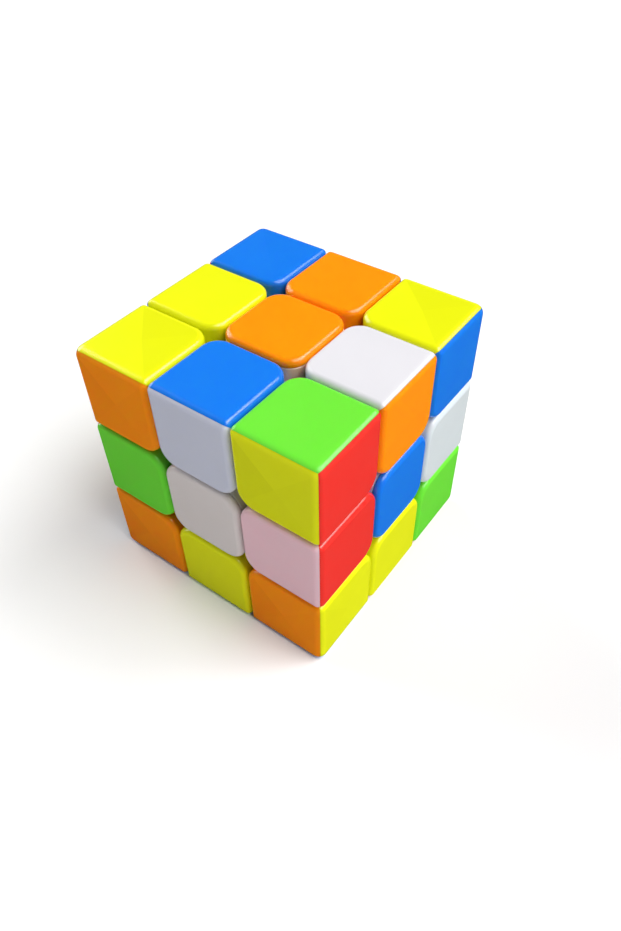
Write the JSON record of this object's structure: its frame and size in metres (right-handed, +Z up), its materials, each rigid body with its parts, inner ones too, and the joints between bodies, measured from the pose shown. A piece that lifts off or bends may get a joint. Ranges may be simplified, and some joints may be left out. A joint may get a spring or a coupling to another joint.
{
  "type": "twisty puzzle cube",
  "caption": "Cube puzzle of three layers each way. Each outer layer turns about its centre; coloured shells with rounded inner corners ride on a screwed, sprung core.",
  "frame": {"origin": "centre of the cube, where the six turning axes meet", "axes": "+Z up out of the up side, +X out of the right side, -Y out of the front side"},
  "size_m": [0.056, 0.056, 0.056],
  "materials": {
    "plastic_white": "smooth semi-gloss, coloured through",
    "plastic_yellow": "smooth semi-gloss, coloured through",
    "plastic_orange": "smooth semi-gloss, coloured through",
    "plastic_red": "smooth semi-gloss, coloured through",
    "plastic_green": "smooth semi-gloss, coloured through",
    "plastic_blue": "smooth semi-gloss, coloured through",
    "core_plastic": "plain moulded",
    "steel": "bright zinc plated"
  },
  "bodies": {
    "core": {"core": "core_plastic", "screw_up": "steel", "screw_down": "steel", "screw_front": "steel", "screw_back": "steel", "screw_right": "steel", "screw_left": "steel"},
    "centre_up": {"hub_up": "plastic_white", "cap_up": "plastic_orange", "spring_up": "steel"},
    "centre_down": {"hub_down": "plastic_white", "cap_down": "plastic_red", "spring_down": "steel"},
    "centre_front": {"hub_front": "plastic_white", "cap_front": "plastic_white", "spring_front": "steel"},
    "centre_back": {"hub_back": "plastic_white", "cap_back": "plastic_yellow", "spring_back": "steel"},
    "centre_right": {"hub_right": "plastic_white", "cap_right": "plastic_blue", "spring_right": "steel"},
    "centre_left": {"hub_left": "plastic_white", "cap_left": "plastic_green", "spring_left": "steel"},
    "edge_up_right": {"edge_up_right_half_up": "plastic_white", "edge_up_right_half_right": "plastic_orange"},
    "edge_up_front": {"edge_up_front_half_up": "plastic_blue", "edge_up_front_half_front": "plastic_white"},
    "edge_up_left": {"edge_up_left_half_up": "plastic_yellow", "edge_up_left_half_left": "plastic_blue"},
    "edge_up_back": {"edge_up_back_half_up": "plastic_orange", "edge_up_back_half_back": "plastic_blue"},
    "edge_down_right": {"edge_down_right_half_down": "plastic_orange", "edge_down_right_half_right": "plastic_yellow"},
    "edge_down_front": {"edge_down_front_half_down": "plastic_green", "edge_down_front_half_front": "plastic_yellow"},
    "edge_down_left": {"edge_down_left_half_down": "plastic_green", "edge_down_left_half_left": "plastic_red"},
    "edge_down_back": {"edge_down_back_half_down": "plastic_blue", "edge_down_back_half_back": "plastic_red"},
    "edge_front_right": {"edge_front_right_half_front": "plastic_white", "edge_front_right_half_right": "plastic_red"},
    "edge_front_left": {"edge_front_left_half_front": "plastic_green", "edge_front_left_half_left": "plastic_orange"},
    "edge_back_left": {"edge_back_left_half_back": "plastic_red", "edge_back_left_half_left": "plastic_yellow"},
    "edge_back_right": {"edge_back_right_half_back": "plastic_green", "edge_back_right_half_right": "plastic_white"},
    "corner_up_front_right": {"corner_up_front_right": "plastic_green"},
    "corner_up_front_left": {"corner_up_front_left": "plastic_yellow"},
    "corner_up_back_left": {"corner_up_back_left": "plastic_blue"},
    "corner_up_back_right": {"corner_up_back_right": "plastic_yellow"},
    "corner_down_front_right": {"corner_down_front_right": "plastic_blue"},
    "corner_down_front_left": {"corner_down_front_left": "plastic_blue"},
    "corner_down_back_left": {"corner_down_back_left": "plastic_white"},
    "corner_down_back_right": {"corner_down_back_right": "plastic_red"}
  },
  "joints": [
    {"name": "turn_up", "type": "hinge", "parent": "core", "child": "centre_up", "pos_m": [0, 0, 0], "axis": [0, 0, 1], "continuous": true},
    {"name": "turn_down", "type": "hinge", "parent": "core", "child": "centre_down", "pos_m": [0, 0, 0], "axis": [0, 0, 1], "continuous": true},
    {"name": "turn_front", "type": "hinge", "parent": "core", "child": "centre_front", "pos_m": [0, 0, 0], "axis": [0, 1, 0], "continuous": true},
    {"name": "turn_back", "type": "hinge", "parent": "core", "child": "centre_back", "pos_m": [0, 0, 0], "axis": [0, 1, 0], "continuous": true},
    {"name": "turn_right", "type": "hinge", "parent": "core", "child": "centre_right", "pos_m": [0, 0, 0], "axis": [1, 0, 0], "continuous": true},
    {"name": "turn_left", "type": "hinge", "parent": "core", "child": "centre_left", "pos_m": [0, 0, 0], "axis": [1, 0, 0], "continuous": true},
    {"name": "edge_up_right_with_right", "type": "hinge", "parent": "centre_up", "child": "edge_up_right", "pos_m": [0, 0, 0], "axis": [1, 0, 0], "continuous": true},
    {"name": "edge_up_front_with_up", "type": "hinge", "parent": "centre_front", "child": "edge_up_front", "pos_m": [0, 0, 0], "axis": [0, 0, 1], "continuous": true},
    {"name": "edge_up_left_with_left", "type": "hinge", "parent": "centre_up", "child": "edge_up_left", "pos_m": [0, 0, 0], "axis": [1, 0, 0], "continuous": true},
    {"name": "edge_up_back_with_up", "type": "hinge", "parent": "centre_back", "child": "edge_up_back", "pos_m": [0, 0, 0], "axis": [0, 0, 1], "continuous": true},
    {"name": "edge_down_right_with_right", "type": "hinge", "parent": "centre_down", "child": "edge_down_right", "pos_m": [0, 0, 0], "axis": [1, 0, 0], "continuous": true},
    {"name": "edge_down_front_with_down", "type": "hinge", "parent": "centre_front", "child": "edge_down_front", "pos_m": [0, 0, 0], "axis": [0, 0, 1], "continuous": true},
    {"name": "edge_down_left_with_left", "type": "hinge", "parent": "centre_down", "child": "edge_down_left", "pos_m": [0, 0, 0], "axis": [1, 0, 0], "continuous": true},
    {"name": "edge_down_back_with_down", "type": "hinge", "parent": "centre_back", "child": "edge_down_back", "pos_m": [0, 0, 0], "axis": [0, 0, 1], "continuous": true},
    {"name": "edge_front_right_with_front", "type": "hinge", "parent": "centre_right", "child": "edge_front_right", "pos_m": [0, 0, 0], "axis": [0, 1, 0], "continuous": true},
    {"name": "edge_front_left_with_front", "type": "hinge", "parent": "centre_left", "child": "edge_front_left", "pos_m": [0, 0, 0], "axis": [0, 1, 0], "continuous": true},
    {"name": "edge_back_left_with_back", "type": "hinge", "parent": "centre_left", "child": "edge_back_left", "pos_m": [0, 0, 0], "axis": [0, 1, 0], "continuous": true},
    {"name": "edge_back_right_with_back", "type": "hinge", "parent": "centre_right", "child": "edge_back_right", "pos_m": [0, 0, 0], "axis": [0, 1, 0], "continuous": true},
    {"name": "corner_up_front_right_with_front", "type": "hinge", "parent": "edge_up_right", "child": "corner_up_front_right", "pos_m": [0, 0, 0], "axis": [0, 1, 0], "continuous": true},
    {"name": "corner_up_front_left_with_front", "type": "hinge", "parent": "edge_up_left", "child": "corner_up_front_left", "pos_m": [0, 0, 0], "axis": [0, 1, 0], "continuous": true},
    {"name": "corner_up_back_left_with_back", "type": "hinge", "parent": "edge_up_left", "child": "corner_up_back_left", "pos_m": [0, 0, 0], "axis": [0, 1, 0], "continuous": true},
    {"name": "corner_up_back_right_with_back", "type": "hinge", "parent": "edge_up_right", "child": "corner_up_back_right", "pos_m": [0, 0, 0], "axis": [0, 1, 0], "continuous": true},
    {"name": "corner_down_front_right_with_front", "type": "hinge", "parent": "edge_down_right", "child": "corner_down_front_right", "pos_m": [0, 0, 0], "axis": [0, 1, 0], "continuous": true},
    {"name": "corner_down_front_left_with_front", "type": "hinge", "parent": "edge_down_left", "child": "corner_down_front_left", "pos_m": [0, 0, 0], "axis": [0, 1, 0], "continuous": true},
    {"name": "corner_down_back_left_with_back", "type": "hinge", "parent": "edge_down_left", "child": "corner_down_back_left", "pos_m": [0, 0, 0], "axis": [0, 1, 0], "continuous": true},
    {"name": "corner_down_back_right_with_back", "type": "hinge", "parent": "edge_down_right", "child": "corner_down_back_right", "pos_m": [0, 0, 0], "axis": [0, 1, 0], "continuous": true}
  ],
  "couplings": [
    {"joint": "edge_up_right_with_right", "follows": "turn_right", "ratio": 1},
    {"joint": "edge_up_front_with_up", "follows": "turn_up", "ratio": 1},
    {"joint": "edge_up_left_with_left", "follows": "turn_left", "ratio": 1},
    {"joint": "edge_up_back_with_up", "follows": "turn_up", "ratio": 1},
    {"joint": "edge_down_right_with_right", "follows": "turn_right", "ratio": 1},
    {"joint": "edge_down_front_with_down", "follows": "turn_down", "ratio": 1},
    {"joint": "edge_down_left_with_left", "follows": "turn_left", "ratio": 1},
    {"joint": "edge_down_back_with_down", "follows": "turn_down", "ratio": 1},
    {"joint": "edge_front_right_with_front", "follows": "turn_front", "ratio": 1},
    {"joint": "edge_front_left_with_front", "follows": "turn_front", "ratio": 1},
    {"joint": "edge_back_left_with_back", "follows": "turn_back", "ratio": 1},
    {"joint": "edge_back_right_with_back", "follows": "turn_back", "ratio": 1},
    {"joint": "corner_up_front_right_with_front", "follows": "turn_front", "ratio": 1},
    {"joint": "corner_up_front_left_with_front", "follows": "turn_front", "ratio": 1},
    {"joint": "corner_up_back_left_with_back", "follows": "turn_back", "ratio": 1},
    {"joint": "corner_up_back_right_with_back", "follows": "turn_back", "ratio": 1},
    {"joint": "corner_down_front_right_with_front", "follows": "turn_front", "ratio": 1},
    {"joint": "corner_down_front_left_with_front", "follows": "turn_front", "ratio": 1},
    {"joint": "corner_down_back_left_with_back", "follows": "turn_back", "ratio": 1},
    {"joint": "corner_down_back_right_with_back", "follows": "turn_back", "ratio": 1}
  ]
}
